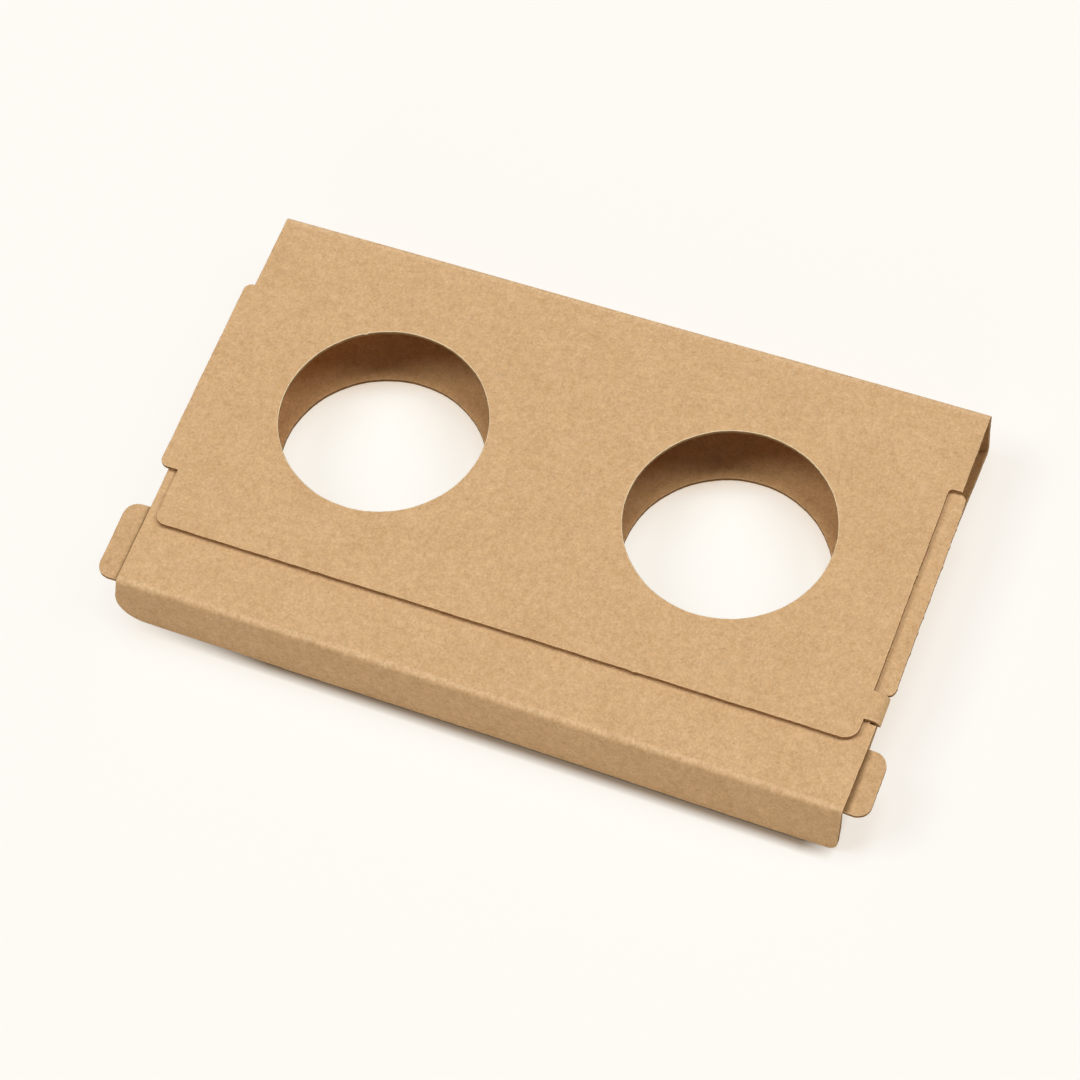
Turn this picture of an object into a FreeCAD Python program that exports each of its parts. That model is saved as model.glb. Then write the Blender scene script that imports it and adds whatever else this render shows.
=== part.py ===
import FreeCAD, Part

import math
import os

from FreeCAD import Vector

# A two-cup carrier folded from one blank of kraft board, in millimetres.
# X runs along the length, Y from the front fold to the back fold, and Z up from the table.
# Distances called "from back" are measured forward from the outside of the back fold.

# Overall sizes
LENGTH = 230.0
DEPTH = 140.0
HEIGHT = 21.0
BOARD = 1.3
FOLD_INSIDE = 0.5
LAY_GAP = 0.3

# Cup holes; those of the bottom panel lie a little further forward than those of the top
HOLE_RADIUS = 32.25
HOLE_PITCH = 111.6
HOLES_LEFT_OF_MIDDLE = 3.0
TOP_HOLES_FROM_BACK = 61.2
BOTTOM_HOLES_FURTHER_FORWARD = 5.0

# Outer top panel, with a finger tab at its left end and a cut-away side at its right end
TOP_PANEL_REACH = 117.6
TAB_FROM_BACK = 27.7
TAB_LENGTH = 70.6
TAB_OUT = 2.9
TAB_CORNER = 2.6
LEFT_STEP_IN = 3.4
LEFT_CORNER = 3.2
RIGHT_STEP_IN = 4.1
RIGHT_CORNER = 4.8
CUT_AWAY_FROM_BACK = 28.7
CUT_AWAY_LENGTH = 71.5
CUT_AWAY_CORNER = 1.6

# Locking hook, the part of the top panel that bends down over the right end of the inner panel
HOOK_LENGTH = 9.5
HOOK_RADIUS = 3.2
HOOK_TURN = 80.0
HOOK_OUT = 1.1
LOCK_CLEARANCE = 0.3

# Inner top panel, which lies under the outer one and shows in front of it
HEM_FROM_BACK = 96.0
HEM_END_INSET = 2.0
ARM_WIDTH = 17.0
ARM_OUT = 1.7
ARM_CORNER = 2.4
ARM_INNER_CORNER = 3.0

# Ears, the ends of the ply under the inner top panel
LEFT_EAR_OUT = 7.8
LEFT_EAR_LENGTH = 26.8
RIGHT_EAR_OUT = 6.6
RIGHT_EAR_LENGTH = 21.3
EAR_CORNER = 4.6

# Bottom panel, whose right side runs in towards the front
RIGHT_TAPER = 4.5

# Front wall, and the flap that hangs over it
LEFT_WALL_INSET = 1.0
RIGHT_WALL_INSET = 5.0
FLAP_LEAN = 4.0
FLAP_TABLE_GAP = 0.5
FLAP_FLARE = 1.2
FLAP_FLARE_DROP = 7.0
FLAP_LEFT_CORNER = 8.6
FLAP_RIGHT_CORNER = 2.4

# Places that several folds and panels share
FOLD_OUTSIDE = FOLD_INSIDE + BOARD
LEFT_END = -LENGTH / 2
RIGHT_END = LENGTH / 2
BACK_FACE = DEPTH / 2
FRONT_FACE = -DEPTH / 2
PLY_STEP = BOARD + LAY_GAP
OUTER_PLY_TOP = HEIGHT
INNER_PLY_TOP = OUTER_PLY_TOP - PLY_STEP
EAR_PLY_TOP = INNER_PLY_TOP - PLY_STEP
WALL_FACE = FRONT_FACE + PLY_STEP
HEM_INSIDE = LAY_GAP / 2
HEM_OUTSIDE = HEM_INSIDE + BOARD
HOOK_BEND_X = RIGHT_END + HOOK_OUT - HOOK_RADIUS * math.sin(math.radians(HOOK_TURN))
HOOK_FROM_BACK = CUT_AWAY_FROM_BACK + CUT_AWAY_LENGTH


def from_back(distance):
    """Y of a place that lies this far forward of the back fold."""
    return BACK_FACE - distance


def rounded_wire(corners):
    """Closed wire in the XY plane through corners (x, y, radius), each rounded by an arc."""
    entries, exits, middles = [], [], []
    count = len(corners)
    for index, (x, y, radius) in enumerate(corners):
        corner = Vector(x, y, 0)
        before = Vector(*corners[index - 1][:2], 0) - corner
        after = Vector(*corners[(index + 1) % count][:2], 0) - corner
        before.normalize()
        after.normalize()
        half_angle = before.getAngle(after) / 2
        setback = radius / math.tan(half_angle)
        inward = before + after
        entries.append(corner + before * setback)
        exits.append(corner + after * setback)
        if radius > 0:
            inward.normalize()
            middles.append(corner + inward * (radius / math.sin(half_angle) - radius))
        else:
            middles.append(None)
    edges = []
    for index in range(count):
        if middles[index] is not None:
            edges.append(Part.Arc(entries[index], middles[index], exits[index]).toShape())
        edges.append(Part.makeLine(exits[index], entries[(index + 1) % count]))
    return Part.Wire(edges)


def flat_ply(corners, top):
    """Level piece of board with its upper face at this height."""
    ply = Part.Face(rounded_wire(corners)).extrude(Vector(0, 0, BOARD))
    ply.translate(Vector(0, 0, top - BOARD))
    return ply


def lengthwise_fold(centre_y, centre_z, start, turn, inside, left, right):
    """Bend whose axis runs along X, from a start angle over a turn, both in degrees from +Y towards +Z."""
    begin = math.radians(start)
    reach = Vector(0, math.cos(begin), math.sin(begin))
    axis_point = Vector(left, centre_y, centre_z)
    inner = axis_point + reach * inside
    outer = axis_point + reach * (inside + BOARD)
    along = Vector(right - left, 0, 0)
    section = Part.Face(Part.makePolygon([inner, outer, outer + along, inner + along, inner]))
    return section.revolve(axis_point, Vector(1, 0, 0), turn)


def cup_holes(solid, centre_y, top):
    """The panel with the pair of cup holes cut through it."""
    for side in (-1, 1):
        x = side * HOLE_PITCH / 2 - HOLES_LEFT_OF_MIDDLE
        base = Vector(x, centre_y, top - 2 * BOARD)
        solid = solid.cut(Part.makeCylinder(HOLE_RADIUS, 3 * BOARD, base))
    return solid


def outer_top_panel():
    """Top panel from the back fold to its free front edge, with the tab and the cut-away side."""
    back = BACK_FACE - FOLD_OUTSIDE
    front = from_back(TOP_PANEL_REACH)
    tab_far = from_back(TAB_FROM_BACK)
    tab_near = from_back(TAB_FROM_BACK + TAB_LENGTH)
    cut_far = from_back(CUT_AWAY_FROM_BACK)
    hook_far = from_back(HOOK_FROM_BACK)
    hook_near = from_back(HOOK_FROM_BACK + HOOK_LENGTH)
    left_in = LEFT_END + LEFT_STEP_IN
    right_in = RIGHT_END - RIGHT_STEP_IN
    corners = [
        (LEFT_END, back, 0),
        (LEFT_END, tab_far, 0),
        (LEFT_END - TAB_OUT, tab_far, TAB_CORNER),
        (LEFT_END - TAB_OUT, tab_near, TAB_CORNER),
        (left_in, tab_near, 0),
        (left_in, front, LEFT_CORNER),
        (right_in, front, RIGHT_CORNER),
        (right_in, hook_near, 0),
        (HOOK_BEND_X, hook_near, 0),
        (HOOK_BEND_X, hook_far, 0),
        (right_in, hook_far, 0),
        (right_in, cut_far, CUT_AWAY_CORNER),
        (RIGHT_END, cut_far, 0),
        (RIGHT_END, back, 0),
    ]
    return cup_holes(flat_ply(corners, OUTER_PLY_TOP), from_back(TOP_HOLES_FROM_BACK), OUTER_PLY_TOP)


def locking_hook():
    """Curled end of the top panel, turned down about a line along Y."""
    near = from_back(HOOK_FROM_BACK + HOOK_LENGTH)
    axis_point = Vector(HOOK_BEND_X, near, OUTER_PLY_TOP - HOOK_RADIUS)
    outer = Vector(HOOK_BEND_X, near, OUTER_PLY_TOP)
    inner = outer - Vector(0, 0, BOARD)
    along = Vector(0, HOOK_LENGTH, 0)
    section = Part.Face(Part.makePolygon([inner, outer, outer + along, inner + along, inner]))
    return section.revolve(axis_point, Vector(0, 1, 0), HOOK_TURN)


def back_wall():
    """Upright wall at the back, with the fold above it and the fold below it."""
    axis_y = BACK_FACE - FOLD_OUTSIDE
    wall = Part.makeBox(LENGTH, BOARD, HEIGHT - 2 * FOLD_OUTSIDE, Vector(LEFT_END, BACK_FACE - BOARD, FOLD_OUTSIDE))
    upper = lengthwise_fold(axis_y, HEIGHT - FOLD_OUTSIDE, 0, 90, FOLD_INSIDE, LEFT_END, RIGHT_END)
    lower = lengthwise_fold(axis_y, FOLD_OUTSIDE, -90, 90, FOLD_INSIDE, LEFT_END, RIGHT_END)
    return [wall, upper, lower]


def bottom_panel():
    """Panel that lies on the table, with its own pair of cup holes and a slanting right side."""
    back = BACK_FACE - FOLD_OUTSIDE
    front = WALL_FACE + FOLD_OUTSIDE
    corners = [
        (LEFT_END, back, 0),
        (LEFT_END, front, 0),
        (RIGHT_END - RIGHT_TAPER, front, 0),
        (RIGHT_END, back, 0),
    ]
    holes_y = from_back(TOP_HOLES_FROM_BACK + BOTTOM_HOLES_FURTHER_FORWARD)
    return cup_holes(flat_ply(corners, BOARD), holes_y, BOARD)


def front_wall():
    """Upright wall behind the front flap, with the fold below it and the fold above it."""
    left = LEFT_END + LEFT_WALL_INSET
    right = RIGHT_END - RIGHT_WALL_INSET
    axis_y = WALL_FACE + FOLD_OUTSIDE
    wall_height = EAR_PLY_TOP - 2 * FOLD_OUTSIDE
    wall = Part.makeBox(right - left, BOARD, wall_height, Vector(left, WALL_FACE, FOLD_OUTSIDE))
    lower = lengthwise_fold(axis_y, FOLD_OUTSIDE, 180, 90, FOLD_INSIDE, left, right)
    upper = lengthwise_fold(axis_y, EAR_PLY_TOP - FOLD_OUTSIDE, 90, 90, FOLD_INSIDE, left, right)
    return [wall, lower, upper]


def ear_panel():
    """Third ply down, from the front wall back to the hem, with an ear standing out of each end."""
    fold_line = WALL_FACE + FOLD_OUTSIDE
    hem_line = from_back(HEM_FROM_BACK) - HEM_OUTSIDE
    left_far = WALL_FACE + LEFT_EAR_LENGTH
    right_far = WALL_FACE + RIGHT_EAR_LENGTH
    left_ear = LEFT_END - LEFT_EAR_OUT
    right_ear = RIGHT_END + RIGHT_EAR_OUT
    left_slit = LEFT_END + LEFT_WALL_INSET
    right_slit = RIGHT_END - RIGHT_WALL_INSET
    corners = [
        (LEFT_END, hem_line, 0),
        (LEFT_END, left_far, 0),
        (left_ear, left_far, EAR_CORNER),
        (left_ear, WALL_FACE, EAR_CORNER),
        (LEFT_END, WALL_FACE, 0),
        (LEFT_END, fold_line, 0),
        (left_slit, fold_line, 0),
        (right_slit, fold_line, 0),
        (RIGHT_END, fold_line, 0),
        (RIGHT_END, WALL_FACE, 0),
        (right_ear, WALL_FACE, EAR_CORNER),
        (right_ear, right_far, EAR_CORNER),
        (RIGHT_END, right_far, 0),
        (RIGHT_END, hem_line, 0),
    ]
    return flat_ply(corners, EAR_PLY_TOP)


def hem():
    """Half turn that joins the ear panel to the inner top panel above it."""
    axis_y = from_back(HEM_FROM_BACK) - HEM_OUTSIDE
    left = LEFT_END + HEM_END_INSET
    right = RIGHT_END - ARM_WIDTH - HEM_END_INSET
    return lengthwise_fold(axis_y, EAR_PLY_TOP + HEM_INSIDE, -90, 180, HEM_INSIDE, left, right)


def inner_top_panel():
    """Second ply down, with the arm that shows in the cut-away side and the notch that takes the hook."""
    front = FRONT_FACE + FOLD_OUTSIDE
    hem_line = from_back(HEM_FROM_BACK) - HEM_OUTSIDE
    arm_far = from_back(CUT_AWAY_FROM_BACK)
    arm_near = from_back(HOOK_FROM_BACK) + LOCK_CLEARANCE
    notch_near = from_back(HOOK_FROM_BACK + HOOK_LENGTH) - LOCK_CLEARANCE
    arm_inside = RIGHT_END - ARM_WIDTH
    arm_outside = RIGHT_END + ARM_OUT
    corners = [
        (LEFT_END, hem_line, 0),
        (LEFT_END, front, 0),
        (RIGHT_END, front, 0),
        (RIGHT_END, notch_near, 0),
        (HOOK_BEND_X, notch_near, 0),
        (HOOK_BEND_X, arm_near, 0),
        (arm_outside, arm_near, ARM_CORNER),
        (arm_outside, arm_far, ARM_CORNER),
        (arm_inside, arm_far, ARM_INNER_CORNER),
        (arm_inside, hem_line, 0),
    ]
    return flat_ply(corners, INNER_PLY_TOP)


def front_flap():
    """Flap that hangs from the front fold outside the front wall, leaning out a little."""
    turn = 90 - FLAP_LEAN
    axis_y = FRONT_FACE + FOLD_OUTSIDE
    axis_z = INNER_PLY_TOP - FOLD_OUTSIDE
    fold = lengthwise_fold(axis_y, axis_z, 90, turn, FOLD_INSIDE, LEFT_END, RIGHT_END)
    lean = math.radians(FLAP_LEAN)
    drop = axis_z + FOLD_OUTSIDE * math.sin(lean) - FLAP_TABLE_GAP
    length = drop / math.cos(lean)
    corners = [
        (LEFT_END, 0, 0),
        (LEFT_END - FLAP_FLARE, -FLAP_FLARE_DROP, 0),
        (LEFT_END - FLAP_FLARE, -length, FLAP_LEFT_CORNER),
        (RIGHT_END, -length, FLAP_RIGHT_CORNER),
        (RIGHT_END, 0, 0),
    ]
    flap = Part.Face(rounded_wire(corners)).extrude(Vector(0, 0, BOARD))
    flap.translate(Vector(0, 0, FOLD_INSIDE))
    flap.rotate(Vector(0, 0, 0), Vector(1, 0, 0), turn)
    flap.translate(Vector(0, axis_y, axis_z))
    return [fold, flap]


def carrier():
    """The whole folded blank as one solid, with the middle of its footprint at the origin."""
    pieces = [outer_top_panel(), locking_hook(), bottom_panel(), ear_panel(), hem(), inner_top_panel()]
    pieces += back_wall() + front_wall() + front_flap()
    solid = pieces[0].multiFuse(pieces[1:]).removeSplitter()
    box = solid.BoundBox
    solid.translate(Vector(-box.Center.x, -box.Center.y, -box.ZMin))
    return solid


os.makedirs("parts", exist_ok=True)
folded = carrier()
folded.exportStep("parts/cup_carrier.step")
print("solids", len(folded.Solids), "valid", folded.isValid(), "volume", round(folded.Volume, 1))
print("box", folded.BoundBox)
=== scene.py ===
"""Looks of a folded two-cup carrier of kraft board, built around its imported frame.

The carrier is one blank of board. Each run of it is meshed flat, in the plane of the blank, and
then folded along the same section as the solid, so the face of the board runs on over every crease.
Sizes are in millimetres, in the row frame before its shift to the middle of the footprint.
"""

import logging
import math
from dataclasses import dataclass, field
from enum import Enum, IntEnum

import bpy
import numpy as np
from mathutils import Matrix, Vector
from mathutils.geometry import delaunay_2d_cdt


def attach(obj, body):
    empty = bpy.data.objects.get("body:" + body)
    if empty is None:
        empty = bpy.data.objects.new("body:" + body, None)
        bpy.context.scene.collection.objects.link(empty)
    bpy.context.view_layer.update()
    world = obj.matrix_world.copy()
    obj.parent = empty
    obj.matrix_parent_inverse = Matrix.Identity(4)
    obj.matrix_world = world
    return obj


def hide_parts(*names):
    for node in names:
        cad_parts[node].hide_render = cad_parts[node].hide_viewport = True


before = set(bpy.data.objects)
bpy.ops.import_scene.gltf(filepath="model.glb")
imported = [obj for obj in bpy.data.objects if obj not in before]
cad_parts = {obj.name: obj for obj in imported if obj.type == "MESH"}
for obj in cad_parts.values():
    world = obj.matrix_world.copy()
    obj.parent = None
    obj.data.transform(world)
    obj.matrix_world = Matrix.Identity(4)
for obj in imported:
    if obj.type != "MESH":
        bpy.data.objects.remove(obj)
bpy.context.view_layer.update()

log = logging.getLogger("cup_carrier")

Colour = tuple[float, float, float, float]
Section = tuple[np.ndarray, np.ndarray, np.ndarray]
Socket = bpy.types.NodeSocket

MM = 0.001
PLACE = "blank_place"

# A length, a rise, a share of a side and an area below which there is none, and an arc's fewest steps
TINY = 1e-9
LEVEL = 1e-6
END_SHARE = 1e-4
SMALLEST_AREA = 1e-7
FEWEST_STEPS = 4

# Steps of the mesh along cuts, and the slit beside an ear, in millimetres
FINE_STEP = 0.35
CUT_STEP = 0.9
TOP_HOLE_STEP = 0.6
BOTTOM_HOLE_STEP = 0.8
CLOSEST_STEP = 0.12
MERGE_STEP = 0.002
SLIT = 0.4

# Waves of a die-cut edge's unevenness, in millimetres, each with its share of it
CUT_WAVES = ((40.0, 0.9), (14.0, 0.9), (5.0, 0.5), (2.4, 0.5), (1.3, 0.5))


class BoardSide(Enum):
    """Which part of the board's surface a finish covers."""

    FACE = 0
    CUT_EDGE = 1
    HOLE_RIM = 2


class MathStep(Enum):
    """Arithmetic used by the finishes."""

    ADD = "ADD"
    SUBTRACT = "SUBTRACT"
    MULTIPLY = "MULTIPLY"
    ABSOLUTE = "ABSOLUTE"


class SleevePart(IntEnum):
    """Number of each stretch of the sleeve's path, and of its end."""

    TOP = 0
    BACK_FOLD = 1
    BACK_WALL = 2
    LOWER_BACK_FOLD = 3
    BOTTOM = 4
    FOOT_FOLD = 5
    FRONT_WALL = 6
    EAR_FOLD = 7
    EAR_PANEL = 8
    HEM = 9
    END = 10


class FlapPart(IntEnum):
    """Number of each stretch of the inner panel's path, and of its end."""

    PANEL = 0
    FRONT_FOLD = 1
    FLAP = 2
    END = 3


@dataclass(frozen=True)
class CarrierSizes:
    """Driving sizes of the folded blank, in millimetres, as in the solid."""

    length: float = 230.0
    depth: float = 140.0
    height: float = 21.0
    board: float = 1.3
    fold_inside: float = 0.5
    lay_gap: float = 0.3
    hole_radius: float = 32.25
    hole_pitch: float = 111.6
    holes_left_of_middle: float = 3.0
    top_holes_from_back: float = 61.2
    bottom_holes_further_forward: float = 5.0
    top_reach: float = 117.6
    tab_from_back: float = 27.7
    tab_length: float = 70.6
    tab_out: float = 2.9
    tab_corner: float = 2.6
    left_step_in: float = 3.4
    left_corner: float = 3.2
    right_step_in: float = 4.1
    right_corner: float = 4.8
    cut_from_back: float = 28.7
    cut_length: float = 71.5
    cut_corner: float = 1.6
    hook_length: float = 9.5
    hook_radius: float = 3.2
    hook_turn: float = 80.0
    hook_out: float = 1.1
    lock_clearance: float = 0.3
    hem_from_back: float = 96.0
    hem_end_inset: float = 2.0
    arm_width: float = 17.0
    arm_out: float = 1.7
    arm_corner: float = 2.4
    arm_inner_corner: float = 3.0
    left_ear_out: float = 7.8
    left_ear_length: float = 26.8
    right_ear_out: float = 6.6
    right_ear_length: float = 21.3
    ear_corner: float = 4.6
    left_wall_inset: float = 1.0
    right_wall_inset: float = 5.0
    right_taper: float = 4.5
    flap_lean: float = 4.0
    flap_table_gap: float = 0.5
    flap_flare: float = 1.2
    flap_flare_drop: float = 7.0
    flap_left_corner: float = 8.6
    flap_right_corner: float = 3.2
    flap_right_slant: float = 1.1
    shift_x: float = 0.6
    shift_y: float = 0.6

    def from_back(self, distance: float) -> float:
        """Y of a place this far forward of the outside of the back fold."""
        return self.depth / 2 - distance

    @property
    def left(self) -> float:
        """X of the left end."""
        return -self.length / 2

    @property
    def right(self) -> float:
        """X of the right end."""
        return self.length / 2

    @property
    def fold_outside(self) -> float:
        """Outer radius of a crease."""
        return self.fold_inside + self.board

    @property
    def fold_middle(self) -> float:
        """Radius of a crease at the middle of the board."""
        return self.fold_inside + self.board / 2

    @property
    def ply_step(self) -> float:
        """Height from one ply to the next."""
        return self.board + self.lay_gap

    @property
    def inner_top(self) -> float:
        """Height of the inner top panel's upper face."""
        return self.height - self.ply_step

    @property
    def ear_top(self) -> float:
        """Height of the ear panel's upper face."""
        return self.inner_top - self.ply_step

    @property
    def wall_face(self) -> float:
        """Y of the front wall's outer face."""
        return -self.depth / 2 + self.ply_step

    @property
    def hem_line(self) -> float:
        """Y of the middle of the hem's half turn."""
        return self.from_back(self.hem_from_back) - self.lay_gap / 2 - self.board

    @property
    def hook_bend(self) -> float:
        """X where the locking hook starts to bend down."""
        turn = math.radians(self.hook_turn)
        return self.right + self.hook_out - self.hook_radius * math.sin(turn)

    @property
    def hook_end(self) -> float:
        """Place of the locking hook's end in the flat blank."""
        return self.hook_bend + (self.hook_radius - self.board / 2) * math.radians(self.hook_turn)

    @property
    def hook_far(self) -> float:
        """Y of the locking hook's far side."""
        return self.from_back(self.cut_from_back + self.cut_length)

    @property
    def hook_near(self) -> float:
        """Y of the locking hook's near side."""
        return self.hook_far - self.hook_length

    def hole_middles(self) -> list[float]:
        """X of the middles of the left and the right cup hole."""
        return [side * self.hole_pitch / 2 - self.holes_left_of_middle for side in (-1, 1)]


@dataclass(frozen=True)
class PathPart:
    """One stretch of the folded section, straight or bent.

    A bend has the radius of the middle of the board and turns left where its turn is positive.
    """

    length: float
    radius: float = 0.0
    turn: float = 0.0

    @staticmethod
    def bend(radius: float, degrees: float) -> "PathPart":
        """A bend with this radius and turn."""
        turn = math.radians(degrees)
        return PathPart(abs(turn) * radius, radius, turn)


@dataclass
class FoldPath:
    """Line of the middle of the board in the YZ plane, by distance along the blank."""

    start_y: float
    start_z: float
    heading: float
    parts: list[PathPart]
    begins: list[float] = field(default_factory=list)
    states: list[tuple[float, float, float]] = field(default_factory=list)

    def __post_init__(self) -> None:
        """Works out where each part begins and which way it heads."""
        y, z, heading, along = self.start_y, self.start_z, self.heading, 0.0
        for part in self.parts:
            self.begins.append(along)
            self.states.append((y, z, heading))
            ys, zs, headings = self._walk(part, (y, z, heading), np.array([part.length]))
            y, z, heading = float(ys[0]), float(zs[0]), float(headings[0])
            along += part.length
        self.begins.append(along)

    @staticmethod
    def _walk(part: PathPart, state: tuple[float, float, float], gone: np.ndarray) -> Section:
        """Places a distance into one part.

        Args:
            part: The straight or bent stretch.
            state: Y, Z and heading at its start.
            gone: Distances from its start.

        Returns:
            Y, Z and heading at each distance.
        """
        y, z, heading = state
        if part.radius == 0:
            ys, zs = y + gone * math.cos(heading), z + gone * math.sin(heading)
            return ys, zs, np.full(gone.shape, heading)
        side = math.copysign(1.0, part.turn)
        centre_y = y - side * part.radius * math.sin(heading)
        centre_z = z + side * part.radius * math.cos(heading)
        headings = heading + side * gone / part.radius
        ys = centre_y + side * part.radius * np.sin(headings)
        zs = centre_z - side * part.radius * np.cos(headings)
        return ys, zs, headings

    def place(self, along: np.ndarray) -> Section:
        """Y, Z and heading at distances along the blank.

        Args:
            along: Distances from the start of the path.

        Returns:
            Three arrays of the same length.
        """
        ys, zs, headings = (np.zeros_like(along) for _ in range(3))
        index = np.searchsorted(self.begins, along, side="right") - 1
        index = np.clip(index, 0, len(self.parts) - 1)
        for number, part in enumerate(self.parts):
            here = index == number
            gone = along[here] - self.begins[number]
            ys[here], zs[here], headings[here] = self._walk(part, self.states[number], gone)
        return ys, zs, headings

    def rows(self, spacing: float, bend_step: float) -> np.ndarray:
        """Distances at which the mesh has a row of points.

        Args:
            spacing: Distance between rows on flat board.
            bend_step: Turn between rows in a crease, in degrees.

        Returns:
            Sorted distances.
        """
        found: list[float] = []
        for number, part in enumerate(self.parts):
            steps = max(1, round(part.length / spacing))
            if part.radius > 0:
                steps = max(3, round(math.degrees(abs(part.turn)) / bend_step))
            begin = self.begins[number]
            found += [begin + part.length * step / steps for step in range(steps)]
        return np.array(found + [self.begins[-1]])


def unit(vectors: np.ndarray) -> np.ndarray:
    """Vectors brought to a length of 1."""
    return vectors / np.maximum(np.linalg.norm(vectors, axis=1, keepdims=True), TINY)


@dataclass
class CutLoop:
    """A closed cut through the blank, travelled with the board on its left.

    Points is an array of flat places. Free is true for each side that is a cut edge, and false
    where the board goes on into another run. Inward holds each point's direction into the board.
    """

    points: np.ndarray
    free: np.ndarray
    inward: np.ndarray = field(default_factory=lambda: np.zeros((0, 2)))

    def __post_init__(self) -> None:
        """Works out the direction into the board at each point."""
        ahead = unit(np.roll(self.points, -1, 0) - self.points)
        left = np.stack([-ahead[:, 1], ahead[:, 0]], 1)
        both = unit(left + np.roll(left, 1, 0))
        reach = 1 / np.clip((both * left).sum(1, keepdims=True), 0.5, 1)
        held = ~(self.free & np.roll(self.free, 1))
        self.inward = np.where(held[:, None], 0.0, both * reach)

    def roughened(self, rng: np.random.Generator, amount: float) -> "CutLoop":
        """The same loop with the slight unevenness of a die-cut edge.

        Args:
            rng: Source of the seeded draws.
            amount: Size of the unevenness, in millimetres.

        Returns:
            A new loop.
        """
        steps = np.linalg.norm(np.roll(self.points, -1, 0) - self.points, axis=1)
        total = float(steps.sum())
        along = np.r_[0.0, np.cumsum(steps)[:-1]] / total
        shift = np.zeros(len(self.points))
        for wave, share in CUT_WAVES:
            cycles = max(1, round(total / wave))
            shift += share * amount * np.sin(math.tau * (cycles * along + rng.random()))
        return CutLoop(self.points + self.inward * shift[:, None], self.free)

    def nicked(self, nicks: list["Nick"]) -> "CutLoop":
        """The same loop with small burrs where bridges held it to the waste.

        Args:
            nicks: The burrs.

        Returns:
            A new loop.
        """
        points = self.points.copy()
        for nick in nicks:
            away = np.linalg.norm(self.points - np.array([nick.x, nick.along]), axis=1)
            points -= self.inward * (nick.height * np.exp(-((away / nick.width) ** 2)))[:, None]
        return CutLoop(points, self.free)


@dataclass(frozen=True)
class Nick:
    """Burr left on a cut edge where a small bridge was torn."""

    x: float
    along: float
    height: float
    width: float = 0.45


@dataclass(frozen=True)
class Corner:
    """Corner of a cut outline, with its radius.

    Joined means that no cut runs on to the next corner, and fine that the cut to it crosses a bend.
    """

    x: float
    along: float
    radius: float = 0.0
    joined: bool = False
    fine: bool = False


def trace_outline(corners: list[Corner], rows: np.ndarray, joint_count: int) -> CutLoop:
    """Turns an outline's corners into a loop of close points.

    Args:
        corners: Corners, with the board on the left of the way round.
        rows: Rows of the mesh, where sides that cross them get a point.
        joint_count: Number of steps along a joined side.

    Returns:
        The loop.
    """
    count = len(corners)
    places = [np.array([c.x, c.along]) for c in corners]
    entries: list[np.ndarray] = []
    exits: list[np.ndarray] = []
    rounds: list[list[np.ndarray]] = []
    for index, corner in enumerate(corners):
        before = places[index - 1] - places[index]
        after = places[(index + 1) % count] - places[index]
        before /= np.linalg.norm(before)
        after /= np.linalg.norm(after)
        half = math.acos(float(np.clip(before @ after, -1, 1))) / 2
        setback = corner.radius / math.tan(half) if corner.radius else 0.0
        entries.append(places[index] + before * setback)
        exits.append(places[index] + after * setback)
        ends = (entries[-1], exits[-1])
        rounds.append(arc_between(ends, places[index], corner.radius, half, before + after))
    points: list[np.ndarray] = []
    free: list[bool] = []
    for index, corner in enumerate(corners):
        points += rounds[index]
        free += [True] * len(rounds[index])
        begin, end = exits[index], entries[(index + 1) % count]
        side = end - begin
        if corner.joined:
            shares = np.arange(joint_count) / joint_count
        else:
            step = FINE_STEP if corner.fine else CUT_STEP
            steps = max(1, math.ceil(np.linalg.norm(side) / step))
            shares = np.arange(steps) / steps
            if abs(side[1]) > LEVEL:
                crossed = (rows - begin[1]) / side[1]
                crossed = crossed[(crossed > END_SHARE) & (crossed < 1 - END_SHARE)]
                shares = merge_shares(shares, crossed, CLOSEST_STEP / np.linalg.norm(side))
        points += [begin + side * share for share in shares]
        free += [not corner.joined] * len(shares)
    return CutLoop(np.array(points), np.array(free))


def merge_shares(plain: np.ndarray, wanted: np.ndarray, closest: float) -> np.ndarray:
    """Joins two sets of places along a side, and drops plain ones that crowd a wanted one.

    Args:
        plain: Evenly spaced shares of the side.
        wanted: Shares that have to be there.
        closest: Smallest distance allowed, as a share.

    Returns:
        Sorted shares.
    """
    if len(wanted) == 0:
        return plain
    gaps = np.abs(plain[:, None] - wanted[None, :]).min(1)
    kept = plain[(gaps > closest) | (plain == 0)]
    wanted = wanted[(wanted > closest) & (wanted < 1 - closest)]
    return np.sort(np.r_[kept, wanted])


def arc_between(
    ends: tuple[np.ndarray, np.ndarray],
    corner: np.ndarray,
    radius: float,
    half: float,
    inward: np.ndarray,
) -> list[np.ndarray]:
    """Points of a rounded corner, without its last one.

    Args:
        ends: Where the arc starts and ends.
        corner: The sharp corner.
        radius: Radius of the arc, or 0.
        half: Half of the corner's angle.
        inward: Direction from the corner to the arc's centre.

    Returns:
        Points from the entry on, or nothing for a sharp corner.
    """
    if radius == 0:
        return []
    centre = corner + inward / np.linalg.norm(inward) * radius / math.sin(half)
    first, last = (math.atan2(*(end - centre)[::-1]) for end in ends)
    turn = (last - first + math.pi) % math.tau - math.pi
    steps = max(FEWEST_STEPS, math.ceil(abs(turn) * radius / FINE_STEP))
    angles = first + turn * np.arange(steps) / steps
    return [centre + radius * np.array([math.cos(a), math.sin(a)]) for a in angles]


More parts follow.
